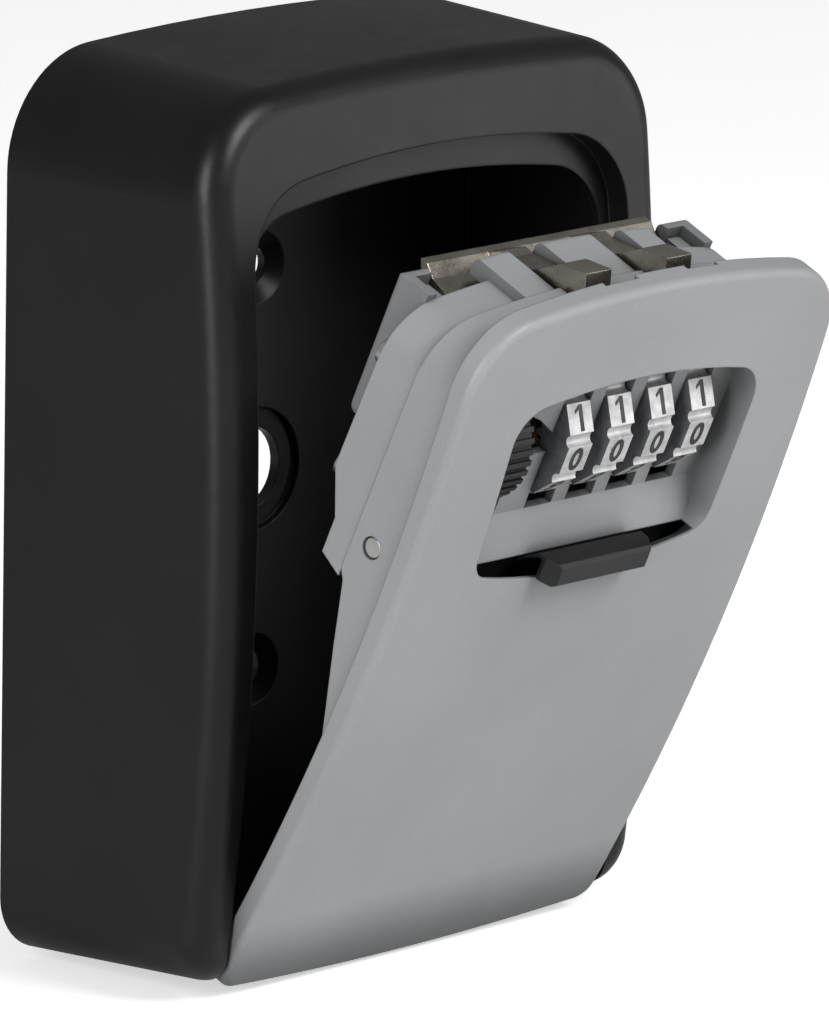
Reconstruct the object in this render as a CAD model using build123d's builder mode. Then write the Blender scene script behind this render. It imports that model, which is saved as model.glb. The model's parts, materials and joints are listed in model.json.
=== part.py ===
from build123d import *
import os
from math import cos, pi, sin, sqrt

# A wall-mounted key lock box with its door part open.
# Every piece is drawn with the door shut: X to the right, Y from the front (negative) to the wall
# (zero), Z up from the body's lowest line. Pieces on the door are then turned about the hinge pin,
# and the whole is moved so that the origin is the centre of the wall holes on the back face.
# REAR sizes are distances out from the wall; HEIGHT sizes are up from the body's lowest line.

# ---------------------------------------------------------------- driving dimensions, millimetres
BODY_WIDTH = 85.5
BODY_HEIGHT = 118.0
BODY_DEPTH = 37.0  # at mid height, where the bowed front stands furthest out
BODY_BOW = 4.35  # how far the front falls back at the top and bottom
BODY_DRAFT = 3.1  # degrees, on all four sides
TOP_RISE = 2.0
TOP_CORNER = 15.0
BOTTOM_CORNER = 8.0
FRONT_ROUND = 4.0
SIDE_WALL = 3.4
BACK_WALL = 2.6

SCREW_CENTRE_HEIGHT = 58.0
SCREW_SPACING = 53.4
SCREW_HOLE_RADIUS = 2.5
SCREW_HEAD_RADIUS = 4.8
ANCHOR_HOLE_RADIUS = 5.4
ANCHOR_HEAD_RADIUS = 8.1
ANCHOR_HEAD_DEPTH = 1.0

OPENING_HALF_BOTTOM = 35.2
OPENING_HALF_TOP = 34.1
OPENING_SHOULDER = 102.1
OPENING_CROWN = 105.5
OPENING_CORNER = 11.0
REBATE_DEPTH = 3.4
LEDGE_SIDE = 1.7
LEDGE_TOP = 4.4
LEDGE_THICKNESS = 1.5

HINGE_REAR = 28.6
HINGE_HEIGHT = 4.8
HINGE_PIN_RADIUS = 1.5
HINGE_PIN_GRIP = 1.9  # how far the pin goes into each cheek of the body
BARREL_RADIUS = 2.9
DOOR_REST_ANGLE = 24.3  # degrees open, as stored

PANEL_GAP = 0.65
PANEL_THICKNESS = 3.2
PANEL_BOTTOM = 0.4
PANEL_BOTTOM_SHOULDER = 1.8
PANEL_BOTTOM_CORNER = 3.0
PANEL_EDGE_ROUND = 1.1
TUB_GAP = 0.6
TUB_WALL = 1.7
TUB_REAR = 25.5

WINDOW_HALF_BOTTOM = 21.4
WINDOW_HALF_TOP = 22.4
WINDOW_BOTTOM = 63.4
WINDOW_BOTTOM_SHOULDER = 66.0
WINDOW_TOP_SHOULDER = 89.35
WINDOW_CROWN = 91.9
WINDOW_CORNER_BOTTOM = 3.6
WINDOW_CORNER_TOP = 5.0
DISH_DEPTH = 4.6
DISH_WALL = 1.2
DISH_LIP_HEIGHT = 65.8
DISH_LIP_DEPTH = 2.4
DISH_BEND_HEIGHT = 71.0

WHEEL_COUNT = 4
WHEEL_PITCH = 7.5
WHEEL_FIRST = -7.05
WHEEL_HEIGHT = 80.0
WHEEL_APOTHEM = 8.7
WHEEL_WIDTH = 4.3
WHEEL_FACETS = 10
WHEEL_FACE_DEPTH = 1.6
NOTCH_RADIUS = 0.85
SLOT_GAP = 0.35

SHELF_SIDES = (-9.5, 18.0)  # the housing's shelf that carries the detent spring
SHELF_REAR = 22.0
SHELF_FRONT = 26.9
SHELF_THICKNESS = 1.3
SPRING_FLOOR = 68.6

SPINDLE_RADIUS = 1.6
SLEEVE_RADIUS = 2.8
SLEEVE_LEFT = 2.2  # from a wheel's middle to its sleeve's left end
SLEEVE_RIGHT = 4.3
KEY_RADIUS = 3.8
KEY_WIDTH = 1.2
KEY_START = -1.6  # from a wheel's middle
KEY_END = -0.2
CAM_RADIUS = 4.2
CAM_START = 2.4
CAM_END = 3.3
CODE_SHIFT = 1.8
LEVER_LEFT = 20.0
LEVER_THICKNESS = 1.2
FIT = 0.05  # radial clearance of a running fit
CLEAR = 0.3  # space between pieces that only pass each other

THUMB_LEFT = -21.3
THUMB_RIGHT = -15.4
THUMB_HUB_END = -9.9
THUMB_RADIUS = 8.6
THUMB_HUB_RADIUS = 4.1
THUMB_RIBS = 36
THUMB_RIB_DEPTH = 0.5

HOUSING_GAP = 0.7  # how far the housing stands in from the tub's outer faces
HOUSING_WALL = 1.6
HOUSING_REAR = 18.7
HOUSING_DECK = 1.4  # thickness of the housing's top over the release link
RIB_OUTER = 15.4
RIB_REAR = 15.3
RIB_ROUND = 1.2
SHOULDER_DROP = 1.3  # how far the housing's shoulders lie below its ribs

COVER_HALF = 26.2
COVER_REAR = 13.0
COVER_WALL = 1.6
COVER_BOTTOM = 75.8
COVER_TOP = 97.0
COVER_NOTCH = 91.2
WHEEL_GAP_REAR = 17.0  # the cover's floor is cut away from here out, to clear the wheels
COVER_SCREW_RADIUS = 0.9
HOUSING_SCREW_RADIUS = 1.1

LATCH_PIVOT_REAR = 15.9
LATCH_PIVOT_HEIGHT = 93.6
LATCH_PIN_RADIUS = 1.1
NOSE_CENTRE = 7.4
NOSE_WIDTH = 4.6
NOSE_SLOT = 5.9
TUB_SLOT_FRONT = 31.9  # the slots for the noses run this far out through the tub's top
BAR_HALF = 20.6

BUTTON_TRAVEL = 2.6
CROSS_PIN_REAR = 28.8
CROSS_PIN_HEIGHT = 67.0
CROSS_PIN_RADIUS = 1.5
BUTTON_PLATE_HALF = 26.0
BUTTON_HALF = 22.9  # outer faces of the button's two cheeks
BUTTON_CHEEK = 1.5
LIP_HALF = 9.4
LIP_PROUD = 3.0
LIP_BEVEL = 1.2
LIP_LOW = 63.9
LIP_HIGH = 67.3
LIP_STEM = 0.55  # thickness of the stem where it passes over the window's lower edge
LINK_INNER = 23.3
LINK_THICKNESS = 1.0
BOSS_INNER = 24.6

half_height = BODY_HEIGHT / 2
bow_radius = (half_height**2 + BODY_BOW**2) / (2 * BODY_BOW)
reach = BODY_WIDTH  # longer than any cut has to be


# ---------------------------------------------------------------- shared shapes
def front_y(height, recess=0.0):
    """Y of the bowed front at a height, sunk by recess."""
    radius = bow_radius - recess
    return bow_radius - BODY_DEPTH - sqrt(radius**2 - (height - half_height) ** 2)


def arched(half_bottom, half_top, bottom, low_shoulder, high_shoulder, crown, low_round, high_round):
    """A shape with near-upright sides, an arched top and an arched or flat bottom."""
    with BuildSketch() as shape:
        with BuildLine():
            Line((half_bottom, low_shoulder), (half_top, high_shoulder))
            ThreePointArc((half_top, high_shoulder), (0, crown), (-half_top, high_shoulder))
            Line((-half_top, high_shoulder), (-half_bottom, low_shoulder))
            if low_shoulder > bottom:
                ThreePointArc((-half_bottom, low_shoulder), (0, bottom), (half_bottom, low_shoulder))
            else:
                Line((-half_bottom, low_shoulder), (half_bottom, low_shoulder))
        make_face()
        if low_round > 0:
            fillet(shape.vertices().group_by(Axis.Y)[0], low_round)
        if high_round > 0:
            fillet(shape.vertices().group_by(Axis.Y)[-1], high_round)
    return shape.sketch


def opening_shape(inset, crown_inset, bottom, low_shoulder, low_round):
    """The door opening, drawn smaller by an inset at the sides and another at the crown."""
    return arched(
        OPENING_HALF_BOTTOM - inset,
        OPENING_HALF_TOP - inset,
        bottom,
        low_shoulder,
        OPENING_SHOULDER - crown_inset,
        OPENING_CROWN - crown_inset,
        low_round,
        OPENING_CORNER - inset,
    )


def window_shape(grow=0.0):
    """The dial window, drawn larger by grow."""
    return arched(
        WINDOW_HALF_BOTTOM + grow,
        WINDOW_HALF_TOP + grow,
        WINDOW_BOTTOM - grow,
        WINDOW_BOTTOM_SHOULDER - grow,
        WINDOW_TOP_SHOULDER + grow,
        WINDOW_CROWN + grow,
        WINDOW_CORNER_BOTTOM + grow,
        WINDOW_CORNER_TOP + grow,
    )


def behind_bow(recess):
    """One block of everything behind the bowed front sunk by recess."""
    low, high = -half_height / 3, BODY_HEIGHT * 7 / 6
    with BuildPart() as block_part:
        with BuildSketch(Plane.YZ):
            with BuildLine():
                ends = [(front_y(h, recess), h) for h in (low, half_height, high)]
                ThreePointArc(*ends)
                Polyline(ends[2], (reach, high), (reach, low), ends[0])
            make_face()
        extrude(amount=reach, both=True)
    return block_part.part


def side_plate(points, left, right):
    """A plate with a side profile of (y, z) points, from left to right."""
    with BuildPart() as plate:
        with BuildSketch(Plane.YZ.offset(left)):
            Polygon(*points, align=None)
        extrude(amount=right - left)
    return plate.part


def rod(radius, rear, height, left, right):
    """A round bar along X at a distance from the wall and a height, from left to right."""
    with BuildPart() as bar:
        with BuildSketch(Plane.YZ.offset(left)):
            with Locations((-rear, height)):
                Circle(radius)
        extrude(amount=right - left)
    return bar.part


def post(radius, x, height, rear, front):
    """A round bar along Y at an x and a height, from its rear end to its front end."""
    with BuildPart() as bar:
        with BuildSketch(Plane.XZ.offset(rear)):
            with Locations((x, height)):
                Circle(radius)
        extrude(amount=front - rear)
    return bar.part


def block(x_range, rear_range, z_range):
    """A plain block; rear_range is its nearest and furthest distance from the wall."""
    with BuildPart() as plain:
        with BuildSketch(Plane.XZ.offset(rear_range[0])):
            with Locations(((x_range[0] + x_range[1]) / 2, (z_range[0] + z_range[1]) / 2)):
                Rectangle(x_range[1] - x_range[0], z_range[1] - z_range[0])
        extrude(amount=rear_range[1] - rear_range[0])
    return plain.part


wheel_rear = -front_y(WHEEL_HEIGHT) - WHEEL_FACE_DEPTH - WHEEL_APOTHEM
wheel_centres = [WHEEL_FIRST + n * WHEEL_PITCH for n in range(WHEEL_COUNT)]
wheel_reach = WHEEL_APOTHEM / cos(pi / WHEEL_FACETS)
tub_half = OPENING_HALF_TOP - LEDGE_SIDE - TUB_GAP
nose_slots = [(side * NOSE_CENTRE - NOSE_SLOT / 2, side * NOSE_CENTRE + NOSE_SLOT / 2) for side in (-1, 1)]
swing_rear = HINGE_REAR - HINGE_HEIGHT - CLEAR  # the panel's lower end swings back to here
barrel_top = HINGE_HEIGHT + BARREL_RADIUS + CLEAR

# ---------------------------------------------------------------- body shell
pin_half = OPENING_HALF_BOTTOM + HINGE_PIN_GRIP
pin_bar = rod(HINGE_PIN_RADIUS, HINGE_REAR, HINGE_HEIGHT, -pin_half, pin_half)
cheek_rear = (swing_rear, BODY_DEPTH)
cheek_height = (0, barrel_top + CLEAR)

with BuildPart() as cavity:
    with BuildSketch(Plane.XZ.offset(BACK_WALL)):
        add(
            arched(
                BODY_WIDTH / 2 - SIDE_WALL,
                BODY_WIDTH / 2 - SIDE_WALL,
                SIDE_WALL,
                SIDE_WALL,
                BODY_HEIGHT - TOP_RISE - SIDE_WALL,
                BODY_HEIGHT - SIDE_WALL,
                BOTTOM_CORNER - SIDE_WALL,
                TOP_CORNER - SIDE_WALL,
            )
        )
    extrude(amount=BODY_DEPTH, taper=BODY_DRAFT)
    add(behind_bow(REBATE_DEPTH + LEDGE_THICKNESS), mode=Mode.INTERSECT)
    for side in (-1, 1):
        edges = sorted((side * OPENING_HALF_BOTTOM, side * BODY_WIDTH))
        add(block(edges, cheek_rear, cheek_height), mode=Mode.SUBTRACT)

with BuildPart() as rebate:
    with BuildSketch(Plane.XZ.offset(HINGE_REAR - BARREL_RADIUS)):
        add(opening_shape(0, 0, -5, -5, 0))
    extrude(amount=BODY_DEPTH)
    add(behind_bow(REBATE_DEPTH), mode=Mode.SUBTRACT)

with BuildPart() as doorway:
    with BuildSketch(Plane.XZ.offset(HINGE_REAR - BARREL_RADIUS - CLEAR)):
        add(opening_shape(LEDGE_SIDE, LEDGE_TOP, SIDE_WALL, SIDE_WALL, 0))
    extrude(amount=BODY_DEPTH)

with BuildPart() as body_shell:
    with BuildSketch(Plane.XZ):
        add(
            arched(
                BODY_WIDTH / 2,
                BODY_WIDTH / 2,
                0,
                0,
                BODY_HEIGHT - TOP_RISE,
                BODY_HEIGHT,
                BOTTOM_CORNER,
                TOP_CORNER,
            )
        )
    extrude(amount=BODY_DEPTH + BODY_BOW, taper=BODY_DRAFT)
    add(behind_bow(0), mode=Mode.INTERSECT)
    fillet(body_shell.faces().sort_by(Axis.Y)[0].edges(), FRONT_ROUND)
    add(cavity.part, mode=Mode.SUBTRACT)
    add(rebate.part, mode=Mode.SUBTRACT)
    add(doorway.part, mode=Mode.SUBTRACT)
    swing_room = block(
        (-OPENING_HALF_BOTTOM, OPENING_HALF_BOTTOM), (swing_rear, BODY_DEPTH + 1), (-1, barrel_top)
    )
    add(swing_room, mode=Mode.SUBTRACT)
    add(pin_bar, mode=Mode.SUBTRACT)
    with Locations(Plane.XZ.offset(BACK_WALL)):
        with Locations((0, SCREW_CENTRE_HEIGHT)):
            CounterBoreHole(ANCHOR_HOLE_RADIUS, ANCHOR_HEAD_RADIUS, ANCHOR_HEAD_DEPTH, depth=BACK_WALL * 2)
        for side in (-1, 1):
            with Locations((0, SCREW_CENTRE_HEIGHT + side * SCREW_SPACING / 2)):
                CounterSinkHole(
                    SCREW_HOLE_RADIUS, SCREW_HEAD_RADIUS, depth=BACK_WALL * 2, counter_sink_angle=120
                )

with BuildPart() as hinge_pin:
    add(pin_bar)
    chamfer(hinge_pin.edges().filter_by(GeomType.CIRCLE), HINGE_PIN_RADIUS / 6)

# ---------------------------------------------------------------- door front: panel, dial dish, side walls
floor_y = front_y(WHEEL_HEIGHT) + DISH_DEPTH
lip_y = front_y(DISH_LIP_HEIGHT) + DISH_LIP_DEPTH
window_low = WINDOW_BOTTOM - 2
window_high = WINDOW_CROWN + 2
dish_solid_side = [
    (-BODY_DEPTH, window_high),
    (floor_y + DISH_WALL, window_high),
    (floor_y + DISH_WALL, DISH_BEND_HEIGHT - DISH_WALL / 3),
    (lip_y + DISH_WALL, DISH_LIP_HEIGHT),
    (-BODY_DEPTH, DISH_LIP_HEIGHT),
]
dish_hollow_side = [
    (-reach, window_high),
    (floor_y, window_high),
    (floor_y, DISH_BEND_HEIGHT),
    (lip_y, DISH_LIP_HEIGHT),
    (-reach, DISH_LIP_HEIGHT),
]
tub_side = [
    (-BODY_DEPTH, BODY_HEIGHT),
    (-TUB_REAR, BODY_HEIGHT),
    (-TUB_REAR, 62.0),
    (-TUB_REAR - 1, 60.6),
    (-HINGE_REAR - 0.2, 52.5),
    (-HINGE_REAR - 4.6, 38),
    (-BODY_DEPTH, 34),
]
tub_shape = opening_shape(LEDGE_SIDE + TUB_GAP, LEDGE_TOP + TUB_GAP, 20, 20, 0)
tub_inside = opening_shape(LEDGE_SIDE + TUB_GAP + TUB_WALL, LEDGE_TOP + TUB_GAP + TUB_WALL, 19, 19, 0)
column_spots = [(side * 28.4, height) for side in (-1, 1) for height in (71.8, 88.5)]
column_radius = HOUSING_SCREW_RADIUS + 1.0
slot_low = WHEEL_HEIGHT - WHEEL_APOTHEM - CLEAR
slot_high = WINDOW_CROWN - CLEAR
first_slot_left = WHEEL_FIRST - WHEEL_WIDTH / 2 - SLOT_GAP

with BuildPart() as panel:
    with BuildSketch(Plane.XZ.offset(HINGE_REAR)):
        add(
            opening_shape(PANEL_GAP, PANEL_GAP, PANEL_BOTTOM, PANEL_BOTTOM_SHOULDER, PANEL_BOTTOM_CORNER)
        )
    extrude(amount=BODY_DEPTH / 2)
    add(behind_bow(0), mode=Mode.INTERSECT)
    fillet(panel.faces().sort_by(Axis.Y)[0].edges(), PANEL_EDGE_ROUND)
    add(behind_bow(PANEL_THICKNESS), mode=Mode.SUBTRACT)

with BuildPart() as tub:
    with BuildSketch(Plane.XZ.offset(TUB_REAR)):
        add(tub_shape)
        add(tub_inside, mode=Mode.SUBTRACT)
    extrude(amount=BODY_DEPTH / 2)
    add(behind_bow(PANEL_THICKNESS / 2), mode=Mode.INTERSECT)
    add(side_plate(tub_side, -reach, reach), mode=Mode.INTERSECT)

with BuildPart() as dish:
    with BuildSketch(Plane.XZ.offset(TUB_REAR)):
        add(window_shape(DISH_WALL))
    extrude(amount=BODY_DEPTH / 2)
    add(behind_bow(PANEL_THICKNESS / 2), mode=Mode.INTERSECT)
    add(side_plate(dish_solid_side, -reach, reach), mode=Mode.INTERSECT)

with BuildPart() as dish_hollow:
    with BuildSketch(Plane.XZ.offset(TUB_REAR)):
        add(window_shape())
    extrude(amount=BODY_DEPTH / 2)
    add(side_plate(dish_hollow_side, -reach, reach), mode=Mode.INTERSECT)

# Below the dish's lip the window is open to the button behind it, and its lower edge is bevelled
# from behind so that the button's plate shows right up to the edge.
with BuildPart() as button_window:
    with BuildSketch(Plane.XZ.offset(HINGE_REAR)):
        add(window_shape())
    extrude(amount=BODY_DEPTH / 2)
    low_part = block((-reach, reach), (0, reach), (window_low, DISH_LIP_HEIGHT))
    add(low_part, mode=Mode.INTERSECT)
with BuildPart() as button_relief:
    with BuildSketch(Plane.XZ.offset(-front_y(WINDOW_BOTTOM) - 0.4)):
        add(window_shape())
    with BuildSketch(Plane.XZ.offset(-front_y(WINDOW_BOTTOM) - PANEL_THICKNESS - CLEAR)):
        add(window_shape(PANEL_THICKNESS * 0.8))
    loft()
    add(block((-reach, reach), (0, reach), (0, DISH_LIP_HEIGHT)), mode=Mode.INTERSECT)

with BuildPart() as door_front:
    add(panel.part)
    add(tub.part)
    add(dish.part)
    add(rod(BARREL_RADIUS, HINGE_REAR, HINGE_HEIGHT, -tub_half, tub_half))
    for x, height in column_spots:
        add(post(column_radius, x, height, TUB_REAR, BODY_DEPTH - PANEL_THICKNESS / 2))
    add(dish_hollow.part, mode=Mode.SUBTRACT)
    add(button_window.part, mode=Mode.SUBTRACT)
    add(button_relief.part, mode=Mode.SUBTRACT)
    add(
        rod(HINGE_PIN_RADIUS + FIT, HINGE_REAR, HINGE_HEIGHT, -tub_half - 1, tub_half + 1),
        mode=Mode.SUBTRACT,
    )
    for centre in wheel_centres:
        half = WHEEL_WIDTH / 2 + SLOT_GAP
        slot = block((centre - half, centre + half), (TUB_REAR, 1 - floor_y), (slot_low, slot_high))
        add(slot, mode=Mode.SUBTRACT)
    thumb_slot = block(
        (THUMB_LEFT - SLOT_GAP, THUMB_RIGHT + SLOT_GAP),
        (TUB_REAR, 1 - floor_y),
        (WHEEL_HEIGHT - THUMB_RADIUS + CLEAR, slot_high),
    )
    add(thumb_slot, mode=Mode.SUBTRACT)
    with BuildSketch(Plane.XZ.offset(TUB_REAR)):
        hub_window = [
            (THUMB_RIGHT, WHEEL_HEIGHT - 0.4),
            (first_slot_left, WHEEL_HEIGHT - 0.4),
            (first_slot_left, WHEEL_HEIGHT + 2.4),
            (first_slot_left - 3.2, WHEEL_HEIGHT + 4.8),
            (THUMB_RIGHT, WHEEL_HEIGHT + 6),
        ]
        Polygon(*hub_window, align=None)
    extrude(amount=1 - floor_y - TUB_REAR, mode=Mode.SUBTRACT)
    for left, right in nose_slots:
        tub_slot = block((left, right), (TUB_REAR - 1, TUB_SLOT_FRONT), (LATCH_PIVOT_HEIGHT, BODY_HEIGHT))
        add(tub_slot, mode=Mode.SUBTRACT)
    add(
        rod(CROSS_PIN_RADIUS, CROSS_PIN_REAR, CROSS_PIN_HEIGHT, -reach, reach),
        mode=Mode.SUBTRACT,
    )
    for x, height in column_spots:
        screw_hole = post(HOUSING_SCREW_RADIUS, x, height, TUB_REAR, TUB_REAR + 6)
        add(screw_hole, mode=Mode.SUBTRACT)

with BuildPart() as cross_pin:
    add(rod(CROSS_PIN_RADIUS, CROSS_PIN_REAR, CROSS_PIN_HEIGHT, -tub_half - 0.2, tub_half + 0.2))
    chamfer(cross_pin.edges().filter_by(GeomType.CIRCLE), CROSS_PIN_RADIUS / 6)

# ---------------------------------------------------------------- lock housing
housing_inset = LEDGE_SIDE + TUB_GAP + HOUSING_GAP
housing_side = [
    (-TUB_REAR, BODY_HEIGHT),
    (-HOUSING_REAR, BODY_HEIGHT),
    (-HOUSING_REAR, 72.8),
    (-HOUSING_REAR - 3, 66.8),
    (-HOUSING_REAR - 3.1, 61.8),
    (-TUB_REAR, 60.6),
]
housing_roof = OPENING_SHOULDER - LEDGE_TOP - TUB_GAP - HOUSING_DECK
rib_low = housing_roof + 0.7
shoulder_roof = housing_roof - 4.2
housing_hollow = [
    (-TUB_REAR - 1, shoulder_roof),
    (-HOUSING_REAR - HOUSING_WALL, shoulder_roof),
    (-HOUSING_REAR - HOUSING_WALL, 72.8),
    (-HOUSING_REAR - 3 - HOUSING_WALL, 66.8),
    (-HOUSING_REAR - 3 - HOUSING_WALL, 62.6),
    (-TUB_REAR - 1, 61.4),
]
housing_half = OPENING_HALF_TOP - housing_inset
inside_half = housing_half - HOUSING_WALL
boss_radius = SPINDLE_RADIUS + 1.5
wheels_left = first_slot_left
wheels_right = wheel_centres[-1] + WHEEL_WIDTH / 2 + SLOT_GAP
wheel_openings = [(THUMB_LEFT - SLOT_GAP, THUMB_RIGHT + SLOT_GAP), (wheels_left, wheels_right)]
rear_opening = (WHEEL_HEIGHT - 7.6, WHEEL_HEIGHT + 7.4)
cover_screw_spots = [(-19.0, 89.1), (19.0, 89.1), (-12.3, 77.5), (20.5, 77.2)]
lever_left = LEVER_LEFT
lever_right = LEVER_LEFT + LEVER_THICKNESS
lever_slot_x = (lever_left - CLEAR, lever_right + CODE_SHIFT + CLEAR)
lever_slot_z = (79.1, 82.3)
tooth_rear = (23.2, 25.0)

with BuildPart() as housing_ribs:
    with BuildSketch(Plane.XZ.offset(RIB_REAR)):
        add(opening_shape(housing_inset, LEDGE_TOP + TUB_GAP + HOUSING_GAP, 60, 60, 0))
    extrude(amount=TUB_REAR - RIB_REAR)
    add(block((-reach, reach), (0, reach), (0, rib_low)), mode=Mode.SUBTRACT)
    for side in (-1, 1):
        outside = sorted((side * RIB_OUTER, side * reach))
        add(block(outside, (0, reach), (0, BODY_HEIGHT)), mode=Mode.SUBTRACT)
    for left, right in nose_slots:
        add(block((left, right), (0, reach), (0, BODY_HEIGHT)), mode=Mode.SUBTRACT)
    rear_edges = housing_ribs.edges().filter_by(GeomType.CIRCLE).group_by(Axis.Y)[-1]
    fillet(rear_edges, RIB_ROUND)

with BuildPart() as lock_housing:
    with BuildSketch(Plane.XZ.offset(HOUSING_REAR)):
        add(opening_shape(housing_inset, LEDGE_TOP + TUB_GAP + HOUSING_GAP + SHOULDER_DROP, 60, 60, 0))
    extrude(amount=TUB_REAR - HOUSING_REAR)
    add(side_plate(housing_side, -reach, reach), mode=Mode.INTERSECT)
    add(side_plate(housing_hollow, -inside_half, inside_half), mode=Mode.SUBTRACT)
    link_hollow = block(
        (-BOSS_INNER, BOSS_INNER),
        (HOUSING_REAR + HOUSING_WALL, TUB_REAR + 1),
        (shoulder_roof - 1, housing_roof),
    )
    add(link_hollow, mode=Mode.SUBTRACT)
    add(housing_ribs.part)
    for left, right in nose_slots:
        add(block((left, right), (RIB_REAR - 1, TUB_REAR + 1), (91.6, BODY_HEIGHT)), mode=Mode.SUBTRACT)
    for side in (-1, 1):
        inner, outer = side * BOSS_INNER, side * (inside_half + CLEAR)
        left, right = sorted((inner, outer))
        add(rod(boss_radius, wheel_rear, WHEEL_HEIGHT, left, right))
        left, right = sorted((side * (BAR_HALF + 1.4), side * (COVER_HALF - COVER_WALL - CLEAR)))
        add(block((left, right), (14.9, HOUSING_REAR + 0.5), (91.6, 95.6)))
    for x, height in column_spots:
        add(post(column_radius, x, height, HOUSING_REAR + HOUSING_WALL / 2, TUB_REAR))
    for left, right in wheel_openings:
        add(block((left, right), (HOUSING_REAR - 1, HOUSING_REAR + 3), rear_opening), mode=Mode.SUBTRACT)
    add(block(lever_slot_x, (HOUSING_REAR - 1, HOUSING_REAR + 3), lever_slot_z), mode=Mode.SUBTRACT)
    bore_half = housing_half - HOUSING_WALL
    spindle_bore = rod(SPINDLE_RADIUS + FIT, wheel_rear, WHEEL_HEIGHT, -bore_half, bore_half)
    add(spindle_bore, mode=Mode.SUBTRACT)
    pivot_half = COVER_HALF - COVER_WALL - CLEAR
    pivot_bore = rod(LATCH_PIN_RADIUS, LATCH_PIVOT_REAR, LATCH_PIVOT_HEIGHT, -pivot_half, pivot_half)
    add(pivot_bore, mode=Mode.SUBTRACT)
    for x, height in column_spots:
        screw_hole = post(HOUSING_SCREW_RADIUS, x, height, HOUSING_REAR - 1, TUB_REAR + 1)
        add(screw_hole, mode=Mode.SUBTRACT)
    for x, height in cover_screw_spots:
        screw_hole = post(COVER_SCREW_RADIUS, x, height, HOUSING_REAR - 1, HOUSING_REAR + HOUSING_WALL)
        add(screw_hole, mode=Mode.SUBTRACT)
    add(block(SHELF_SIDES, (SHELF_REAR, SHELF_FRONT), (SPRING_FLOOR - SHELF_THICKNESS, SPRING_FLOOR)))

# ---------------------------------------------------------------- rear cover and its screws
cover_boss_radius = COVER_SCREW_RADIUS * 2
with BuildPart() as rear_cover:
    with BuildSketch(Plane.XZ.offset(COVER_REAR)):
        with Locations((0, (COVER_BOTTOM + COVER_TOP) / 2)):
            Rectangle(COVER_HALF * 2, COVER_TOP - COVER_BOTTOM)
    extrude(amount=HOUSING_REAR - COVER_REAR)
    outer_corners = rear_cover.edges().filter_by(Axis.Y).sort_by(Axis.Z)[:2]
    fillet(outer_corners, 2.0)
    rear_rim = rear_cover.faces().sort_by(Axis.Y)[-1].edges()
    fillet(rear_rim, 0.9)
    inner = COVER_HALF - COVER_WALL
    above_floor = (COVER_BOTTOM + COVER_WALL, reach * 2)
    hollow = block((-inner, inner), (COVER_REAR + COVER_WALL, reach), above_floor)
    add(hollow, mode=Mode.SUBTRACT)
    notch = block((-BAR_HALF - 1, BAR_HALF + 1), (0, reach), (COVER_NOTCH, reach + reach))
    add(notch, mode=Mode.SUBTRACT)
    for left, right in wheel_openings:
        wheel_gap = block((left, right), (WHEEL_GAP_REAR, HOUSING_REAR + 1), (0, above_floor[0] + 1))
        add(wheel_gap, mode=Mode.SUBTRACT)
    for x, height in cover_screw_spots:
        add(post(cover_boss_radius, x, height, COVER_REAR + COVER_WALL / 2, HOUSING_REAR))
    add(block(lever_slot_x, (0, reach), lever_slot_z), mode=Mode.SUBTRACT)
    for x, height in cover_screw_spots:
        with Locations(Plane.XZ.offset(COVER_REAR) * Location((x, height, 0))):
            Hole(COVER_SCREW_RADIUS, depth=HOUSING_REAR)
            Cone(
                cover_boss_radius,
                COVER_SCREW_RADIUS,
                COVER_SCREW_RADIUS,
                align=(Align.CENTER, Align.CENTER, Align.MIN),
                mode=Mode.SUBTRACT,
            )

with BuildPart() as cover_screws:
    for x, height in cover_screw_spots:
        with Locations(Plane.XZ.offset(COVER_REAR) * Location((x, height, 0))):
            Cylinder(
                COVER_SCREW_RADIUS,
                HOUSING_REAR + HOUSING_WALL - COVER_REAR,
                align=(Align.CENTER, Align.CENTER, Align.MIN),
            )
            Cone(
                cover_boss_radius,
                COVER_SCREW_RADIUS,
                COVER_SCREW_RADIUS,
                align=(Align.CENTER, Align.CENTER, Align.MIN),
            )
            Box(2.2, 0.5, 0.8, mode=Mode.SUBTRACT)
            Box(0.5, 2.2, 0.8, mode=Mode.SUBTRACT)

with BuildPart() as housing_screws:
    for x, height in column_spots:
        with Locations(Plane.XZ.offset(HOUSING_REAR) * Location((x, height, 0))):
            shank = TUB_REAR + 5 - HOUSING_REAR
            Cylinder(HOUSING_SCREW_RADIUS, shank, align=(Align.CENTER, Align.CENTER, Align.MIN))
            Cylinder(HOUSING_SCREW_RADIUS * 1.8, 1.3, align=(Align.CENTER, Align.CENTER, Align.MAX))
        with Locations(Plane.XZ.offset(HOUSING_REAR - 1.3) * Location((x, height, 0))):
            Box(2.4, 0.6, 1.2, mode=Mode.SUBTRACT)
            Box(0.6, 2.4, 1.2, mode=Mode.SUBTRACT)

# ---------------------------------------------------------------- number wheels
facet_angle = 2 * pi / WHEEL_FACETS


def wheel_corner(radius, step):
    """A corner of a ten-sided shape about the wheel axis, one flat facing the front."""
    angle = (step + 0.5) * facet_angle
    return (-wheel_rear - radius * cos(angle), WHEEL_HEIGHT + radius * sin(angle))


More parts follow.
